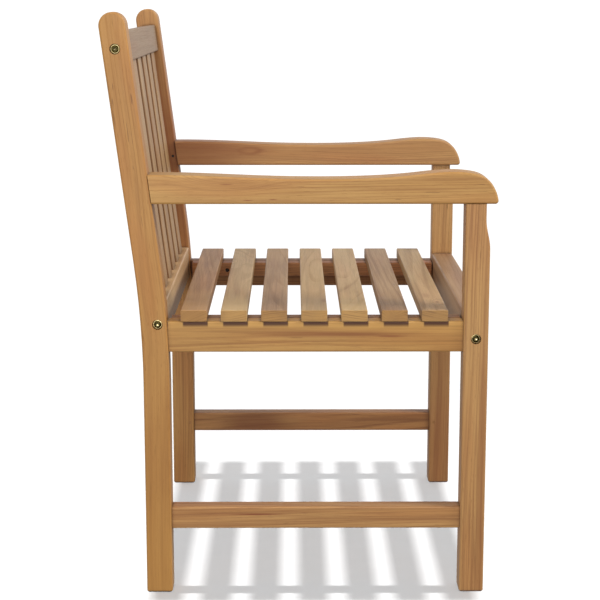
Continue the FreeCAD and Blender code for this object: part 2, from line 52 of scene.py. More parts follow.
class Graph:
    """A small wrapper that adds nodes to a tree and links them."""

    def __init__(self, tree):
        self.tree = tree
        tree.nodes.clear()

    def add(self, kind, settings=None, **inputs):
        node = self.tree.nodes.new(kind)
        for key, value in (settings or {}).items():
            setattr(node, key, value)
        for key, value in inputs.items():
            self.put(node, key, value)
        return node

    def put(self, node, key, value):
        """Sets an input by index (i0, i1 ...) or by name with underscores for spaces."""
        if key[0] == "i" and key[1:].isdigit():
            socket = node.inputs[int(key[1:])]
        else:
            socket = node.inputs[key.replace("_", " ")]
        if isinstance(value, bpy.types.NodeSocket):
            self.tree.links.new(value, socket)
        else:
            socket.default_value = value

    def place(self):
        """The point's place in the bench's frame, because every CAD object sits at the origin."""
        return self.add("ShaderNodeTexCoord").outputs["Object"]

    def split(self, vector):
        """A vector's X, Y and Z."""
        return list(self.add("ShaderNodeSeparateXYZ", Vector=vector).outputs)

    def math(self, operation, a, b=None, c=None, clamp=False):
        node = self.add("ShaderNodeMath", {"operation": operation, "use_clamp": clamp})
        for index, value in enumerate((a, b, c)):
            if value is not None:
                self.put(node, f"i{index}", value)
        return node.outputs[0]

    def vector(self, operation, a, b):
        return self.add("ShaderNodeVectorMath", {"operation": operation}, i0=a, i1=b).outputs[0]

    def length(self, vector):
        return self.add("ShaderNodeVectorMath", {"operation": "LENGTH"}, i0=vector).outputs["Value"]

    def noise(self, vector, scale=1.0, detail=2.0, rough=0.5):
        node = self.add("ShaderNodeTexNoise", {"noise_dimensions": "3D"}, Vector=vector, Scale=scale,
                        Detail=detail, Roughness=rough)
        return node.outputs["Fac"]

    def noise_1d(self, w, scale, detail, rough=0.5):
        node = self.add("ShaderNodeTexNoise", {"noise_dimensions": "1D"}, W=w, Scale=scale, Detail=detail,
                        Roughness=rough)
        return node.outputs["Fac"]

    def map(self, vector, kind="POINT", **changes):
        """A vector moved, turned or stretched by a Mapping node."""
        return self.add("ShaderNodeMapping", {"vector_type": kind}, Vector=vector, **changes).outputs[0]

    def smooth(self, value, low, high, to_low=0.0, to_high=1.0):
        """Eases from to_low to to_high while the value goes from low to high."""
        node = self.add("ShaderNodeMapRange", {"interpolation_type": "SMOOTHSTEP"}, Value=value)
        for key, number in (("From Min", low), ("From Max", high), ("To Min", to_low), ("To Max", to_high)):
            node.inputs[key].default_value = number
        return node.outputs["Result"]

    def mix(self, factor, a, b, blend="MIX"):
        node = self.add("ShaderNodeMix", {"data_type": "RGBA", "blend_type": blend, "clamp_factor": True})
        for socket, value in ((node.inputs[0], factor), (node.inputs[6], a), (node.inputs[7], b)):
            if isinstance(value, bpy.types.NodeSocket):
                self.tree.links.new(value, socket)
            elif socket.type == "RGBA":
                socket.default_value = (*value, 1.0)
            else:
                socket.default_value = value
        return node.outputs[2]


def new_material(name):
    material = bpy.data.materials.new(name)
    material.use_nodes = True
    return material, Graph(material.node_tree)


def finish_material(graph, colour, roughness, height, bump, metallic=0.0, specular=0.5):
    """Links the surface and its bump. bump is the strength and the height in metres."""
    shader = graph.add("ShaderNodeBsdfPrincipled", Base_Color=colour, Roughness=roughness,
                       Metallic=metallic, Specular_IOR_Level=specular)
    bump_node = graph.add("ShaderNodeBump", Height=height, Strength=bump[0], Distance=bump[1])
    graph.put(shader, "Normal", bump_node.outputs[0])
    output = graph.add("ShaderNodeOutputMaterial")
    graph.put(output, "Surface", shader.outputs[0])


def dress(node, material):
    slot = NODES[node].material_slots[0]
    slot.link = "OBJECT"
    slot.material = material


# ---------------------------------------------------------------- places on the bench

X, Y, Z = (1, 0, 0), (0, 1, 0), (0, 0, 1)


def box_centre(node):
    low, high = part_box(node)
    return (low + high) / 2


def place_on(node, fractions):
    """A place in a node's box: 0 is its low side and 1 its high side, along each axis."""
    low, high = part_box(node)
    return Vector([a + f * (b - a) for a, b, f in zip(low, high, fractions)])


def rotation_for(grain, face, lean=0.0):
    """Turns the bench's frame so that X runs along the grain and Z across the board's face.

    A lean is undone first.
    """
    grain, face = Vector(grain), Vector(face)
    rows = Matrix((grain, face.cross(grain), face))
    return (rows @ Matrix.Rotation(lean, 3, "X")).to_euler("XYZ")


SEAT_SLATS = [f"seat_slat_{k}" for k in range(1, 8)]
BACK_SLATS = [f"back_slat_{k}" for k in range(1, 7)]
FIRST_SLAT = box_centre(SEAT_SLATS[0]).y
SLAT_PITCH = (FIRST_SLAT - box_centre(SEAT_SLATS[-1]).y) / (len(SEAT_SLATS) - 1)
RAIL_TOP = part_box("right_side_rail")[1].z
ARM_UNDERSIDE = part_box("right_armrest")[0].z

# The back leans, so its slope is the step back from a slat's middle to the crest rail's, per metre of height.
CREST, BACK = box_centre("crest_rail"), box_centre(BACK_SLATS[0])
LEAN_SLOPE = (CREST.y - BACK.y) / (CREST.z - BACK.z)
LEAN = math.atan(LEAN_SLOPE)
BEND_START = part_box("rear_rail")[0].z

UPRIGHT = rotation_for(Z, X)
LENGTHWISE = rotation_for(Y, X)
CROSSWISE = rotation_for(X, Z)
LEANING_CROSSWISE = rotation_for(X, Z, LEAN)
LEANING_UPRIGHT = rotation_for(Z, X, LEAN)


# ---------------------------------------------------------------- teak

# Each tone is the wood's light, middle and dark colour, linear RGB.
TONES = {
    "golden": ((0.60, 0.338, 0.100), (0.50, 0.256, 0.068), (0.27, 0.108, 0.028)),
    "ochre": ((0.55, 0.284, 0.078), (0.455, 0.213, 0.051), (0.25, 0.090, 0.021)),
    "copper": ((0.615, 0.328, 0.104), (0.515, 0.249, 0.072), (0.28, 0.102, 0.029)),
    "amber": ((0.60, 0.338, 0.124), (0.50, 0.256, 0.088), (0.27, 0.108, 0.038)),
    "honey": ((0.62, 0.358, 0.112), (0.53, 0.280, 0.078), (0.30, 0.122, 0.033)),
    "russet": ((0.50, 0.250, 0.088), (0.41, 0.185, 0.058), (0.21, 0.078, 0.025)),
    "brick": ((0.74, 0.340, 0.138), (0.62, 0.278, 0.110), (0.34, 0.130, 0.049)),
    "straw": ((0.56, 0.380, 0.180), (0.47, 0.300, 0.128), (0.28, 0.150, 0.060)),
    "hazel": ((0.52, 0.328, 0.150), (0.436, 0.259, 0.106), (0.26, 0.129, 0.049)),
    "pale": ((0.68, 0.470, 0.245), (0.58, 0.375, 0.180), (0.35, 0.190, 0.085)),
    "rosy": ((0.46, 0.290, 0.142), (0.37, 0.215, 0.094), (0.22, 0.108, 0.044)),
    "dusky": ((0.50, 0.315, 0.170), (0.41, 0.238, 0.116), (0.24, 0.120, 0.054)),
    "tan": ((0.48, 0.268, 0.112), (0.375, 0.197, 0.074), (0.22, 0.098, 0.036)),
    "ash": ((0.35, 0.222, 0.118), (0.29, 0.171, 0.087), (0.18, 0.094, 0.045)),
}

# What multiplies the light colour on arrises, rubbed paler with a painted highlight, and where wood is
# bleached or painted lighter; and the dark one where it is stained or painted darker, under each seat slat's
# end where a shadow is painted, where it is flecked, and in corners where shade is painted. The blush
# multiplies any colour.
RUBBED_HIGHLIGHT = (1.10, 1.18, 1.60)
BLEACH_AND_LIGHT = (1.25, 1.25, 1.15)
STAIN_AND_SHADE_DARK = (0.90, 0.62, 0.60)
SLAT_SHADOW_SHADE = (0.26, 0.14, 0.12)
FLECKED = (0.55, 0.55, 0.55)
CORNER_SHADED = (0.35, 0.35, 0.35)
BLUSH_COLOUR = (0.98, 0.85, 0.82)

# The least and most that the pith lies from the board, that the rings wander, and that they taper. LOG_REACH
# is how far along the log a board may be taken from, either way. Metres.
PITH_DISTANCE = (0.05, 0.13)
LOG_REACH = 9
WANDER = (0.015, 0.045)
TAPER = (0.010, 0.030)

# A knot's rings spread further along the grain, and are pushed out by this much of its radius.
KNOT_STRETCH = (0.40, 1.0, 1.0)
KNOT_PUSH = 0.7

# Soft bands and year lines, per metre of log radius. The bands shift the years, so that their widths differ.
# LINE_DEPTH is how much a line's darkness varies, and the least of it.
BANDS_PER_METRE = 130.0
BAND_DETAIL = 3.0
BAND_ROUGH = 0.60
YEARS_PER_METRE = 230.0
YEAR_SHIFT = 1.8
LINE_RISE = (0.55, 0.93)
LINE_FALL = (0.94, 1.0)
LINE_DEPTH = (0.75, 0.25)

# Noise cells per metre along and across the grain, then the noise's detail and roughness.
GRAINED = {
    "wander": (1.6, 9.0, 1.5, 0.5),
    "depth": (2.2, 30.0, 2.0, 0.5),
    "streak": (2.6, 95.0, 4.0, 0.65),
    "coarse": (9.0, 380.0, 2.0, 0.6),
    "fibre": (14.0, 1000.0, 2.0, 0.6),
    "pore": (60.0, 1300.0, 1.0, 0.5),
    "fleck": (26.0, 300.0, 2.0, 0.5),
    "tint": (3.0, 16.0, 2.0, 0.5),
    "blush": (4.5, 26.0, 1.0, 0.5),
    "rubbed": (18.0, 60.0, 2.0, 0.5),
}

# The part of a noise that shows: from where it starts to where it is full. Blush has its strengths there too.
DEPTH_SHOWS = (0.40, 0.68)
PORE_SHOWS = (0.64, 0.74)
FLECK_SHOWS = (0.66, 0.73)
TINT_SHOWS = (0.35, 0.65)
BLUSH_SHOWS = (0.42, 0.66, 0.0, 0.65)
RUBBED_SHOWS = (0.30, 0.65)

# What colours the wood, in order: mark, part of it that shows, strength, what scales that, and the shade.
# "figure" is the board's own figure, and "soft" is the same with 1 as its most.
MARKS = (
    ("bands", (0.44, 0.70), 0.36, "figure", "dark"),
    ("line", None, 0.62, "figure", "dark"),
    ("streak", (0.50, 0.74), 0.50, "figure", "dark"),
    ("coarse", (0.48, 0.74), 0.34, "soft", "dark"),
    ("coarse", (0.46, 0.26), 0.34, "soft", "light"),
    ("streak", (0.45, 0.25), 0.50, "soft", "light"),
    ("fibre", (0.35, 0.75), 0.22, "always", "dark"),
    ("pore", None, 0.45, "always", "dark"),
    ("fleck", None, 0.60, "always", "flecked"),
)

# The edge of each stain and each patch of painted light and shade: full inside the first distance and gone at
# the second, in its own sizes, frayed by streaks.
PATCH_EDGE = (0.2, 1.0)
PATCH_FRAY = 0.8

# How squarely a surface faces along the grain, or along the board's face, before it counts as doing so.
SQUARE_ON = (0.80, 0.97)
END_TONE_STRENGTH = 0.75
END_LINE_STRENGTH = 0.90
END_CLOUDS = (0.40, 0.62, 0.0, 0.30)
END_DARKENING = 0.10

# An arris is where a surface faces neither way squarely; it is rubbed paler and given a painted highlight.
# The second pair below is how much that lightening varies, and the least.
ARRIS = (0.15, 0.60)
RUBBED_HIGHLIGHT_AMOUNT = (0.24, 0.03)

# Painted shade by how open a corner is, from full to none, and how far from the corner it reaches, in metres.
CORNER_SHADE = (0.35, 0.92, 0.85, 0.0)
CORNER_SHADE_SAMPLES = 6
CORNER_SHADE_REACH = 0.007
BACK_SLAT_SHADE_REACH = 0.06

# The painted shadow under a seat slat's end, in metres. Its middle is a little in front of the slat's.
SLAT_SHADOW_SHIFT = -0.0025
SLAT_SHADOW_HALF = 0.0190
SLAT_SHADOW_BLUR = 0.0012
SLAT_SHADOW_HEIGHT = 0.0036
SLAT_SHADOW_FADE = 0.0075
SLAT_SHADOW_FRAY = 0.003
SLAT_SHADOW_STRENGTH = 0.95
SLAT_SHADOW_FACE = (0.30, 0.80)

# A back slat's sides carry painted shade, darker than its face, as they lie in shadow between the slats.
SIDE_SHADE_STRENGTH = 0.62
SIDE_SHADE_COLOUR = TONES["russet"][2]

# How far each mark stands up or is cut in, as parts of the bump's height, and how much it dulls the surface.
RELIEF = {"fibre": 0.55, "line": -0.35, "pore": -0.60, "streak": 0.35}
WOOD_BUMP = (0.35, 0.0004)
DULLING = {"fibre": 0.16, "line": 0.06, "end": 0.10}
WOOD_ROUGHNESS = 0.44


def shaded(colour, factors):
    return tuple(a * b for a, b in zip(colour, factors))


def grained(g, log, mark):
    """Noise that is drawn out along the grain."""
    along, across, detail, rough = GRAINED[mark]
    return g.noise(g.map(log, Scale=(along, across, across)), detail=detail, rough=rough)


def straightened(g, place):
    """Undoes a post's backward bend, so that the grain follows the wood above the bend."""
    x, y, z = g.split(place)
    above = g.math("MAXIMUM", g.math("SUBTRACT", z, BEND_START), 0.0)
    y = g.math("SUBTRACT", y, g.math("MULTIPLY", above, LEAN_SLOPE))
    return g.add("ShaderNodeCombineXYZ", X=x, Y=y, Z=z).outputs[0]


def growth(g, rng, board, turn, knots):
    """Where in the log the board was sawn: the place in the log, and how far out its growth ring is."""
    angle = rng.uniform(0, 2 * math.pi)
    pith = rng.uniform(*PITH_DISTANCE)
    offset = (rng.uniform(-LOG_REACH, LOG_REACH), pith * math.cos(angle), pith * math.sin(angle))
    log = g.map(board, Location=offset)
    x, y, z = g.split(log)
    wander = g.math("SUBTRACT", grained(g, log, "wander"), 0.5)
    wander = g.math("MULTIPLY", wander, rng.uniform(*WANDER))
    radius = g.length(g.add("ShaderNodeCombineXYZ", Y=y, Z=z).outputs[0])
    taper = g.math("MULTIPLY", x, rng.choice((-1, 1)) * rng.uniform(*TAPER))
    rings = g.math("ADD", g.math("ADD", radius, wander), taper)
    for spot, size in knots:
        away = g.vector("SUBTRACT", board, turn.to_matrix() @ spot)
        away = g.length(g.map(away, Scale=KNOT_STRETCH))
        reach = g.smooth(away, 0.0, size, 1.0, 0.0)
        rings = g.math("ADD", rings, g.math("MULTIPLY", reach, size * KNOT_PUSH))
    return log, rings


def wood_marks(g, log, rings):
    """The marks that every board has: growth rings, streaks, fibre, the short dashes of pores, and flecks."""
    bands = g.noise_1d(rings, BANDS_PER_METRE, BAND_DETAIL, BAND_ROUGH)
    years = g.math("MULTIPLY", rings, YEARS_PER_METRE)
    year = g.math("FRACT", g.math("ADD", years, g.math("MULTIPLY", bands, YEAR_SHIFT)))
    line = g.math("MULTIPLY", g.smooth(year, *LINE_RISE), g.smooth(year, *LINE_FALL, 1.0, 0.0))
    depth = g.smooth(grained(g, log, "depth"), *DEPTH_SHOWS)
    fleck = g.smooth(grained(g, log, "fleck"), *FLECK_SHOWS)
    return {
        "bands": bands,
        "line": g.math("MULTIPLY", line, g.math("MULTIPLY_ADD", depth, *LINE_DEPTH)),
        "streak": grained(g, log, "streak"),
        "coarse": grained(g, log, "coarse"),
        "fibre": grained(g, log, "fibre"),
        "pore": g.smooth(grained(g, log, "pore"), *PORE_SHOWS),
        "fleck": g.math("MULTIPLY", fleck, depth),
    }


def stain_and_shade(g, colour, board, turn, streak, light, dark, stains_and_shading):
    """Lays each stain and each patch of painted light and shade over the colour. One with a strength below
    zero makes the wood lighter.
    """
    for spot, length, width, strength in stains_and_shading:
        away = g.vector("SUBTRACT", board, turn.to_matrix() @ spot)
        away = g.length(g.map(away, Scale=(1 / length, 1 / width, 1 / width)))
        away = g.math("MULTIPLY_ADD", g.math("SUBTRACT", streak, 0.5), PATCH_FRAY, away)
        shade = shaded(dark, STAIN_AND_SHADE_DARK) if strength > 0 else shaded(light, BLEACH_AND_LIGHT)
        colour = g.mix(g.smooth(away, *PATCH_EDGE, abs(strength), 0.0), colour, shade)
    return colour


def painted_slat_shadows(g, place, streak):
    """Painted shadow on a side rail under the end of each seat slat."""
    _, y, z = g.split(place)
    aside = g.math("PINGPONG", g.math("SUBTRACT", y, FIRST_SLAT + SLAT_SHADOW_SHIFT), SLAT_PITCH / 2)
    across = g.smooth(aside, SLAT_SHADOW_HALF - SLAT_SHADOW_BLUR, SLAT_SHADOW_HALF + SLAT_SHADOW_BLUR, 1.0, 0.0)
    below = g.math("SUBTRACT", RAIL_TOP, z)
    below = g.math("MULTIPLY_ADD", g.math("SUBTRACT", streak, 0.5), SLAT_SHADOW_FRAY, below)
    high = g.smooth(below, SLAT_SHADOW_HEIGHT, SLAT_SHADOW_HEIGHT + SLAT_SHADOW_FADE, SLAT_SHADOW_STRENGTH, 0.0)
    return g.math("MULTIPLY", across, high)


def teak(name, seed, tone, turn, knots=(), stains_and_shading=(), figure=1.0, shade_reach=CORNER_SHADE_REACH, bent=False, end_tone=None,
         shadowed_by_slats=False, shaded_sides=False):
    """One board's own teak, in a tone of TONES and turned as rotation_for says.

    knots holds (place, radius), and the stains and patches of painted light and shade are (place, length,
    width, strength), in the bench's frame.
    figure scales the marks, and the corner reach is how far painted shade reaches from a corner.
    """
    rng = random.Random(seed)
    light, middle, dark = TONES[tone]
    material, g = new_material(name)
    place = g.place()
    if bent:
        place = straightened(g, place)
    board = g.map(place, Rotation=turn)
    normal = g.map(g.add("ShaderNodeNewGeometry").outputs["Normal"], "VECTOR", Rotation=turn)
    along_grain, _, across_face = g.split(normal)
    log, rings = growth(g, rng, board, turn, knots)
    marks = wood_marks(g, log, rings)

    tint = grained(g, log, "tint")
    colour = g.mix(g.smooth(tint, *TINT_SHOWS), middle, light)
    colour = g.mix(g.smooth(grained(g, log, "blush"), *BLUSH_SHOWS), colour, BLUSH_COLOUR, "MULTIPLY")
    shades = {"light": light, "dark": dark, "flecked": shaded(dark, FLECKED)}
    scales = {"figure": figure, "soft": min(figure, 1.0), "always": 1.0}
    for mark, shows, strength, scale, shade in MARKS:
        mask = marks[mark] if shows is None else g.smooth(marks[mark], *shows)
        colour = g.mix(g.math("MULTIPLY", mask, strength * scales[scale]), colour, shades[shade])
    colour = stain_and_shade(g, colour, board, turn, marks["streak"], light, dark, stains_and_shading)

    # End grain drinks more oil, arrises are rubbed paler with a painted highlight, and shade is painted where
    # two pieces meet.
    end = g.smooth(g.math("ABSOLUTE", along_grain), *SQUARE_ON)
    if end_tone is not None:
        colour = g.mix(g.math("MULTIPLY", end, END_TONE_STRENGTH), colour, TONES[end_tone][1])
        end_line = g.math("MULTIPLY", marks["line"], END_LINE_STRENGTH)
        colour = g.mix(g.math("MULTIPLY", end, end_line), colour, dark)
        colour = g.mix(g.math("MULTIPLY", end, g.smooth(tint, *END_CLOUDS)), colour, dark)
    colour = g.mix(g.math("MULTIPLY", end, END_DARKENING), colour, dark)
    face = g.math("ABSOLUTE", across_face)
    rest = g.math("SQRT", g.math("SUBTRACT", 1.0, g.math("MULTIPLY", face, face), clamp=True))
    # Arrises are rubbed paler and carry a painted highlight.
    arris = g.smooth(g.math("MINIMUM", face, rest), *ARRIS)
    rubbed = g.smooth(grained(g, log, "rubbed"), *RUBBED_SHOWS)
    rubbed_highlight = g.math("MULTIPLY", arris, g.math("MULTIPLY_ADD", rubbed, *RUBBED_HIGHLIGHT_AMOUNT))
    colour = g.mix(rubbed_highlight, colour, shaded(light, RUBBED_HIGHLIGHT))
    # Painted shade in corners, from ambient occlusion.
    corner_occlusion = g.add("ShaderNodeAmbientOcclusion", {"samples": CORNER_SHADE_SAMPLES, "only_local": False}, Distance=shade_reach)
    colour = g.mix(g.smooth(corner_occlusion.outputs["AO"], *CORNER_SHADE), colour, shaded(dark, CORNER_SHADED))
    # Painted shadow on the side rail under each seat slat's end.
    if shadowed_by_slats:
        slat_shadow_mask = g.math("MULTIPLY", painted_slat_shadows(g, place, marks["streak"]), g.smooth(face, *SLAT_SHADOW_FACE))
        colour = g.mix(slat_shadow_mask, colour, shaded(dark, SLAT_SHADOW_SHADE))
    # Painted shade on a back slat's sides.
    if shaded_sides:
        colour = g.mix(g.smooth(face, *SQUARE_ON, 0.0, SIDE_SHADE_STRENGTH), colour, SIDE_SHADE_COLOUR)

    # The marks are felt as well as seen, and end grain is as dull as they are.
    marks["end"] = end
    height = 0.0
    for mark, rise in RELIEF.items():
        height = g.math("MULTIPLY_ADD", marks[mark], rise, height)
    roughness = WOOD_ROUGHNESS
    for mark, dulling in DULLING.items():
        roughness = g.math("MULTIPLY_ADD", marks[mark], dulling, roughness)
    finish_material(g, colour, roughness, height, WOOD_BUMP)
    return material


# Each board's tone, direction and figure. Its place in the list gives its seed.
BOARDS = {
    "right_rear_post": ("ochre", UPRIGHT, 0.50),
    "left_rear_post": ("copper", UPRIGHT, 0.80),
    "right_front_leg": ("amber", UPRIGHT, 1.05),
    "left_front_leg": ("amber", UPRIGHT, 0.80),
    "right_armrest": ("honey", LENGTHWISE, 0.75),
    "left_armrest": ("amber", LENGTHWISE, 0.80),
    "right_side_rail": ("golden", LENGTHWISE, 1.05),
    "left_side_rail": ("russet", LENGTHWISE, 1.0),
    "right_stretcher": ("amber", LENGTHWISE, 1.05),
    "left_stretcher": ("russet", LENGTHWISE, 1.30),
    "right_seat_batten": ("russet", LENGTHWISE, 1.0),
    "left_seat_batten": ("brick", LENGTHWISE, 1.0),
    "crest_rail": ("ash", LEANING_CROSSWISE, 0.35),
    "rear_rail": ("pale", CROSSWISE, 0.80),
    "front_rail": ("dusky", CROSSWISE, 1.0),
}
SEAT_TONES = ("tan", "straw", "rosy", "straw", "straw", "rosy", "straw")
BOARDS.update({node: ("hazel", LEANING_UPRIGHT, 1.0) for node in BACK_SLATS})
BOARDS.update({node: (tone, CROSSWISE, 1.0) for node, tone in zip(SEAT_SLATS, SEAT_TONES)})
FIRST_BOARD_SEED = 100
FIRST_DOWEL_SEED = 300
END_TONE = "honey"
DOWELS = ("crest_dowels", "rear_rail_dowels", "front_rail_dowels")

# Each knot's place, as fractions of its board's box, and its radius in metres.
KNOTS = {
    "right_rear_post": [((0.0, 0.55, 0.62), 0.020)],
    "right_armrest": [((0.0, 0.76, 0.95), 0.040)],
    "left_armrest": [((0.0, 0.72, 0.90), 0.026)],
    "seat_slat_2": [((0.75, 1.0, 1.0), 0.030)],
    "seat_slat_6": [((0.01, 0.50, 0.80), 0.018)],
    "seat_slat_7": [((0.11, 0.28, 1.0), 0.014)],
}

# Each stain and each patch of painted light and shade: its place, as fractions of its board's box, its length
# and width in metres, and its strength.
STAINS_AND_SHADING = {
    "right_rear_post": [
        ((0.0, 0.60, 0.25), 0.500, 0.500, 0.07),
        ((0.0, 0.60, 1.0), 0.110, 0.300, -0.22),
        ((0.0, 0.30, 0.0), 0.220, 0.300, -0.20),
    ],
    # Painted shade on the far post's inner face between the seat and the crest rail.
    "left_rear_post": [((0.0, 0.50, 0.70), 0.300, 0.300, 0.58)],
    "right_front_leg": [((0.0, 0.16, 0.34), 0.360, 0.0080, 0.40)],
    # Painted shade: the far front leg darker towards the bottom.
    "left_front_leg": [((0.0, 0.50, 0.10), 0.330, 0.300, 0.30)],
    "right_armrest": [
        ((0.0, 0.76, 0.62), 0.014, 0.0018, 0.60),
        ((0.0, 0.70, 0.12), 0.012, 0.0013, 0.85),
        ((0.0, 0.63, 0.15), 0.010, 0.0012, 0.85),
    ],
    "left_armrest": [
        ((0.0, 0.72, 0.55), 0.030, 0.0110, 0.70),
        ((0.0, 0.725, 0.55), 0.020, 0.0065, -0.38),
        # Painted shade on the far arm's rear end, beside the back.
        ((0.0, 0.98, 0.50), 0.210, 0.300, 0.51),
    ],
    "right_side_rail": [
        ((0.0, 0.46, 0.60), 0.190, 0.0100, 0.62),
        ((0.0, 0.26, 0.52), 0.034, 0.0028, 0.85),
        ((0.5, 0.50, 1.0), 0.800, 0.0300, -0.90),
        ((0.0, 0.86, 0.50), 0.130, 0.0600, 0.11),
        ((0.0, 0.14, 0.50), 0.130, 0.0600, -0.12),
    ],
    "right_stretcher": [((0.0, 0.69, 0.66), 0.062, 0.0022, 0.95)],
    "left_stretcher": [((0.0, 0.73, 0.5), 0.090, 0.030, 0.60)],
    "rear_rail": [((0.20, 0.0, 0.90), 0.400, 0.0500, -0.25)],
    "front_rail": [
        # Painted light on the front rail's inner face, then painted shade on its top.
        ((0.25, 1.0, 0.40), 0.450, 0.0500, -0.80),
        ((0.60, 0.45, 1.0), 0.600, 0.0260, 0.24),
    ],
    "seat_slat_1": [
        # Painted light at the near end, under the arm.
        ((0.06, 0.50, 1.0), 0.150, 0.060, -0.60),
        ((0.70, 0.50, 1.0), 0.060, 0.0120, 0.30),
    ],
    # Painted light at the near end, under the arm.
    "seat_slat_2": [((0.06, 0.50, 1.0), 0.120, 0.060, -0.80)],
    "seat_slat_3": [((0.92, 0.50, 1.0), 0.160, 0.060, -0.40)],
    "seat_slat_4": [
        ((0.5, 0.5, 1.0), 0.600, 0.300, -0.25),
        ((0.13, 0.10, 1.0), 0.020, 0.0070, 0.45),
    ],
    # Painted light at the near end, under the arm.
    "seat_slat_5": [((0.06, 0.50, 1.0), 0.120, 0.060, -0.80)],
    "seat_slat_7": [
        ((0.11, 0.28, 1.0), 0.0060, 0.0040, 0.90),
        ((0.20, 0.60, 1.0), 0.026, 0.0100, 0.30),
    ],
}


def dress_boards():
    for index, (node, (tone, turn, figure)) in enumerate(BOARDS.items()):
        dress(node, teak(
            f"teak_{node}", FIRST_BOARD_SEED + index, tone, turn,
            knots=[(place_on(node, spot), size) for spot, size in KNOTS.get(node, ())],
            stains_and_shading=[(place_on(node, spot), *rest) for spot, *rest in STAINS_AND_SHADING.get(node, ())],
            figure=figure,
            shade_reach=BACK_SLAT_SHADE_REACH if node in BACK_SLATS else CORNER_SHADE_REACH,
            bent=node.endswith("rear_post"),
            end_tone=END_TONE if node in SEAT_SLATS else None,
            shadowed_by_slats=node.endswith("side_rail"),
            shaded_sides=node in BACK_SLATS,
        ))
    for index, node in enumerate(DOWELS):
        dress(node, teak(f"teak_{node}", FIRST_DOWEL_SEED + index, "straw", CROSSWISE))


# ---------------------------------------------------------------- bolts, nuts, screws and pins

# A bolt's rim and socket floor, light then dark, are the plating with a painted highlight, and its dome,
# light then dark, the plating with a painted dark reflection. Linear RGB. The plating is mixed over a short
# blur where one meets the other, along a line that clouds fray. Metres.
BOLT_TONES = ((0.92, 0.78, 0.42), (0.66, 0.52, 0.22), (0.085, 0.068, 0.020), (0.045, 0.036, 0.010))
DOME_RADIUS = 0.0057
RIM_BLUR = 0.0005
SOCKET_RADIUS = 0.0025
SOCKET_BLUR = 0.0004
BOLT_FRAY = 0.0006
# Each bolt's tones are scaled as painted light: lit and shaded copies of one plating.
BOLT_PAINTED_BRIGHTNESS = {"crest_bolts": 0.52, "rear_rail_bolts": 1.0, "front_rail_bolts": 0.9}
BARREL_NUTS = ("crest_barrel_nuts", "rear_rail_barrel_nuts", "front_rail_barrel_nuts")
SCREWS = ("seat_slat_screws", "batten_screws")
YELLOW_ZINC = ((0.62, 0.50, 0.22), (0.34, 0.26, 0.09))
DULL_STEEL = ((0.10, 0.075, 0.06), (0.04, 0.03, 0.025))
PLUG_TONES = ((0.46, 0.220, 0.072), (0.36, 0.165, 0.052))
BARE_PIN = (0.030, 0.018, 0.012)

# Noise cells per metre: clouds in the colour, scratches along each axis, and turned rings round a bolt.
STEEL_CLOUDS = 420.0
BOLT_CLOUDS = 700.0
PLUG_CLOUDS = 600.0
CLOUD_DETAIL = 3.0
CLOUD_ROUGH = 0.6
SCRATCHES = (2600.0, 500.0, 900.0)
TURNED_RINGS = 3200.0

# The part of each noise that shows, and how strongly scratches darken the metal.
CLOUD_SHOWS = (0.35, 0.65)
SCRATCH_SHOWS = (0.55, 0.75)
SCRATCH_STRENGTH = 0.3

# Each finish: its roughness, how much clouds add to that, and its bump. A bump's height is shared between
# scratches or turned rings, first, and clouds.
ZINC_ROUGHNESS = 0.25
DULL_ROUGHNESS = 0.45
STEEL_VARIES = 0.18
STEEL_HEIGHT = (0.6, 0.4)
STEEL_BUMP = (0.25, 0.0002)
BOLT_ROUGHNESS = 0.20
BOLT_RIM_ADDS = 0.10
BOLT_VARIES = 0.15
BOLT_HEIGHT = (0.5, 0.5)
BOLT_BUMP = (0.25, 0.0001)
PLUG_ROUGHNESS = 0.5
PLUG_VARIES = 0.2
PLUG_BUMP = (0.3, 0.0002)

# Pins above this height are the bare ones in the joints of the arms.
BARE_ABOVE = ARM_UNDERSIDE - 0.002


def shared(g, fine, cloud, parts):
    """A bump's height, in which a fine mark and clouds each have a part."""
    return g.math("ADD", g.math("MULTIPLY", fine, parts[0]), g.math("MULTIPLY", cloud, parts[1]))


def plated(name, light, dark, roughness):
    """Plated steel: uneven colour, fine turning marks and rubbed highlights."""
    material, g = new_material(name)
    place = g.place()
    cloud = g.noise(place, STEEL_CLOUDS, CLOUD_DETAIL, CLOUD_ROUGH)
    scratch = g.noise(g.map(place, Scale=SCRATCHES))
    colour = g.mix(g.smooth(cloud, *CLOUD_SHOWS), light, dark)
    scratched = g.math("MULTIPLY", g.smooth(scratch, *SCRATCH_SHOWS), SCRATCH_STRENGTH)
    colour = g.mix(scratched, colour, dark)
    rough = g.math("MULTIPLY_ADD", cloud, STEEL_VARIES, roughness)
    height = shared(g, scratch, cloud, STEEL_HEIGHT)
    finish_material(g, colour, rough, height, STEEL_BUMP, metallic=1.0)
    return material


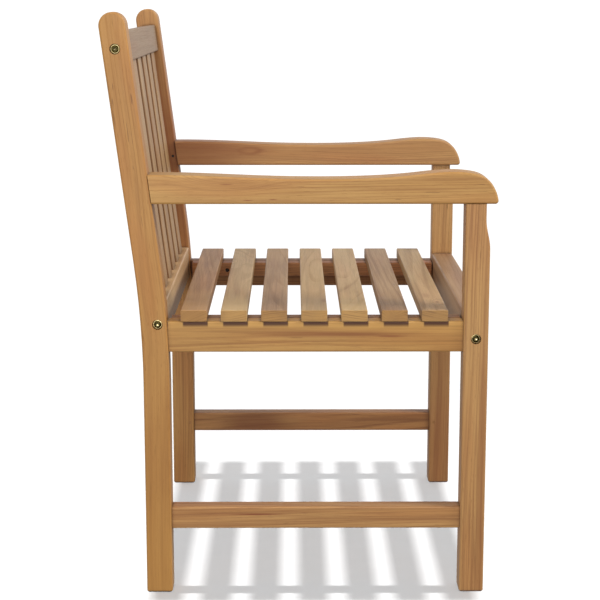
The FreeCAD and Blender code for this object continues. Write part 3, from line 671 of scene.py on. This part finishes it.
def bolt_finish(node, painted_brightness):
    """Yellow plating, with a painted highlight on the rolled rim and socket floor and a painted dark
    reflection on the dome. The second argument scales its tones, for lit and shaded copies of one plating.
    """
    material, g = new_material(f"yellow_zinc_{node}")
    place = g.place()
    from_axis = g.vector("MULTIPLY", g.vector("SUBTRACT", place, box_centre(node)), (0.0, 1.0, 1.0))
    out = g.length(from_axis)
    cloud = g.noise(place, BOLT_CLOUDS, CLOUD_DETAIL, CLOUD_ROUGH)
    turned = g.noise_1d(out, TURNED_RINGS, 2.0)
    edge = g.math("MULTIPLY_ADD", cloud, BOLT_FRAY, out)
    rim = g.smooth(edge, DOME_RADIUS, DOME_RADIUS + RIM_BLUR)
    socket = g.smooth(edge, SOCKET_RADIUS, SOCKET_RADIUS + SOCKET_BLUR, 1.0, 0.0)
    tones = [shaded(colour, (painted_brightness, painted_brightness, painted_brightness)) for colour in BOLT_TONES]
    clouded = g.smooth(cloud, *CLOUD_SHOWS)
    painted_highlight = g.mix(clouded, tones[0], tones[1])
    painted_dark_reflection = g.mix(clouded, tones[2], tones[3])
    colour = g.mix(g.math("MAXIMUM", rim, socket), painted_dark_reflection, painted_highlight)
    rough = g.math("MULTIPLY_ADD", rim, BOLT_RIM_ADDS, BOLT_ROUGHNESS)
    rough = g.math("MULTIPLY_ADD", cloud, BOLT_VARIES, rough)
    height = shared(g, turned, cloud, BOLT_HEIGHT)
    finish_material(g, colour, rough, height, BOLT_BUMP, metallic=1.0)
    return material


def plug_finish():
    """Pins: teak-coloured plugs in the low joints, a bare dark end in the joint of the arm."""
    material, g = new_material("tenon_pins")
    place = g.place()
    _, _, z = g.split(place)
    cloud = g.noise(place, PLUG_CLOUDS, CLOUD_DETAIL)
    colour = g.mix(g.smooth(cloud, *CLOUD_SHOWS), *PLUG_TONES)
    colour = g.mix(g.smooth(z, BARE_ABOVE, ARM_UNDERSIDE), colour, BARE_PIN)
    rough = g.math("MULTIPLY_ADD", cloud, PLUG_VARIES, PLUG_ROUGHNESS)
    finish_material(g, colour, rough, cloud, PLUG_BUMP)
    return material


def dress_hardware():
    yellow_zinc = plated("yellow_zinc", *YELLOW_ZINC, ZINC_ROUGHNESS)
    dull_steel = plated("dull_steel", *DULL_STEEL, DULL_ROUGHNESS)
    for node, painted_brightness in BOLT_PAINTED_BRIGHTNESS.items():
        dress(node, bolt_finish(node, painted_brightness))
    for node in BARREL_NUTS:
        dress(node, yellow_zinc)
    for node in SCREWS:
        dress(node, dull_steel)
    dress("tenon_pins", plug_finish())


# ---------------------------------------------------------------- camera

# The eye stands off the bench's right side: its distance from it, its height, and its place along the bench.
# The lens is given in picture widths, and angles are in radians. The shift frames it as the photo does.
LENS_WIDTHS = 2.5121167
SENSOR = 36.0
EYE_DISTANCE = 2.24425
EYE_HEIGHT = 0.92154
EYE_TO_BACK = 0.01108
TILT = 0.1753
YAW = 0.00453
SHIFT = -0.06
CLIP = (0.05, 60.0)


def make_camera():
    data = bpy.data.cameras.new("camera")
    data.sensor_width = SENSOR
    data.lens = LENS_WIDTHS * SENSOR
    data.shift_y = SHIFT
    data.clip_start, data.clip_end = CLIP
    camera = bpy.data.objects.new("camera", data)
    bpy.context.scene.collection.objects.link(camera)
    camera.location = (LOW.x - EYE_DISTANCE, MIDDLE.y + EYE_TO_BACK, EYE_HEIGHT)
    gaze = Vector((math.cos(TILT) * math.cos(YAW), -math.cos(TILT) * math.sin(YAW), -math.sin(TILT)))
    camera.rotation_mode = "QUATERNION"
    camera.rotation_quaternion = gaze.to_track_quat("-Z", "Y")
    bpy.context.scene.camera = camera


# ---------------------------------------------------------------- floor and light

FLOOR_RADIUS = 1.1
FLOOR_SIDES = 96
FLOOR_DROP = 0.0002
FLOOR_TONES = ((0.80, 0.80, 0.80), (0.84, 0.84, 0.84))
FLOOR_MOTTLE = 30.0
FLOOR_ROUGHNESS = 0.9
FLOOR_BUMP = (0.05, 0.0005)

# Each lamp that lights the bench alone: its direction, distance, watts, diameter and colour.
AIM = Vector((MIDDLE.x, MIDDLE.y, 0.45))
BENCH_LAMPS = {
    "key": ((-1.0, 0.12, 0.22), 3.0, 48.0, 2.0, (1.0, 0.965, 0.90)),
    "top": ((-0.10, 0.56, 0.82), 3.0, 22.0, 1.8, (1.0, 0.97, 0.93)),
    "front": ((-0.25, -0.74, 0.60), 4.0, 92.0, 1.4, (1.0, 0.98, 0.96)),
}

# The lamp that lights the floor alone, past the seat slats and stretchers, and a fill that casts no shadow.
SHADOW_LAMP_PLACE = (MIDDLE.x - 0.13, MIDDLE.y - 0.024, 2.3)
SHADOW_LAMP_WATTS = 150.0
SHADOW_LAMP_RADIUS = 0.052
WHITE = (1.0, 1.0, 1.0)
FILL_FROM = (0, 0, 3)
FILL_TO = (0, 0, 0)
FILL_STRENGTH = 1.42
FILL_ANGLE = 0.1
FILL_COLOUR = (0.95, 0.975, 1.0)

# The room's light, from the dim wall behind the camera to the bright one beyond the bench. Its floor and
# ceiling are dimmer than its walls. The camera sees plain white.
WALLS = (-0.2, 0.9, 0.38, 1.15)
BELOW = (-0.10, 0.02, 0.40, 1.0)
ABOVE = (0.15, 0.75, 1.0, 0.40)
BACKDROP_STRENGTH = 1.1


def make_floor():
    mesh = bpy.data.meshes.new("floor")
    turns = [2 * math.pi * k / FLOOR_SIDES for k in range(FLOOR_SIDES)]
    rim = [(FLOOR_RADIUS * math.cos(a), FLOOR_RADIUS * math.sin(a), 0.0) for a in turns]
    mesh.from_pydata(rim, [], [range(FLOOR_SIDES)])
    floor = bpy.data.objects.new("floor", mesh)
    bpy.context.scene.collection.objects.link(floor)
    floor.location.z = -FLOOR_DROP
    material, g = new_material("floor_paint")
    mottle = g.noise(g.place(), FLOOR_MOTTLE, 3.0)
    finish_material(g, g.mix(mottle, *FLOOR_TONES), FLOOR_ROUGHNESS, mottle, FLOOR_BUMP, specular=0.0)
    mesh.materials.append(material)
    floor.visible_diffuse = False
    floor.visible_glossy = False
    return floor


def make_light(name, kind, energy, place, aim, colour, only, **settings):
    """A light at a place, turned to its aim. It lights only one collection, and the camera doesn't see it."""
    data = bpy.data.lights.new(name, kind)
    data.energy = energy
    data.color = colour
    for key, value in settings.items():
        setattr(data, key, value)
    light = bpy.data.objects.new(name, data)
    bpy.context.scene.collection.objects.link(light)
    light.location = place
    light.rotation_mode = "QUATERNION"
    light.rotation_quaternion = (Vector(aim) - Vector(place)).to_track_quat("-Z", "Y")
    light.visible_camera = False
    light.light_linking.receiver_collection = only
    return light


def grouped(name, objects):
    collection = bpy.data.collections.new(name)
    for obj in objects:
        collection.objects.link(obj)
    return collection


def make_lights(floor):
    floor_only = grouped("lit_floor", [floor])
    bench_only = grouped("lit_bench", list(NODES.values()))
    for name, (direction, distance, watts, diameter, colour) in BENCH_LAMPS.items():
        place = AIM + distance * Vector(direction).normalized()
        make_light(name, "AREA", watts, place, AIM, colour, bench_only, shape="DISK", size=diameter)
    lamp = make_light("slat_shadow", "POINT", SHADOW_LAMP_WATTS, SHADOW_LAMP_PLACE, AIM, WHITE, floor_only,
                      shadow_soft_size=SHADOW_LAMP_RADIUS)
    blockers = [piece for name, piece in NODES.items() if "seat_slat" in name or "stretcher" in name]
    lamp.light_linking.blocker_collection = grouped("seat", blockers)
    make_light("floor_fill", "SUN", FILL_STRENGTH, FILL_FROM, FILL_TO, FILL_COLOUR, floor_only,
               angle=FILL_ANGLE, use_shadow=False)


def make_world():
    world = bpy.data.worlds.new("studio")
    bpy.context.scene.world = world
    world.use_nodes = True
    g = Graph(world.node_tree)
    x, _, z = g.split(g.add("ShaderNodeTexCoord").outputs["Generated"])
    room = g.math("MULTIPLY", g.smooth(x, *WALLS), g.smooth(z, *BELOW))
    room = g.math("MULTIPLY", room, g.smooth(z, *ABOVE))
    around = g.add("ShaderNodeBackground", Color=(*WHITE, 1.0), Strength=room)
    seen = g.add("ShaderNodeBackground", Color=(*WHITE, 1.0), Strength=BACKDROP_STRENGTH)
    camera_sees = g.add("ShaderNodeLightPath").outputs["Is Camera Ray"]
    chooser = g.add("ShaderNodeMixShader", i0=camera_sees, i1=around.outputs[0], i2=seen.outputs[0])
    output = g.add("ShaderNodeOutputWorld")
    g.put(output, "Surface", chooser.outputs[0])


dress_boards()
dress_hardware()
make_camera()
make_lights(make_floor())
make_world()
bpy.context.scene.view_settings.view_transform = "Standard"
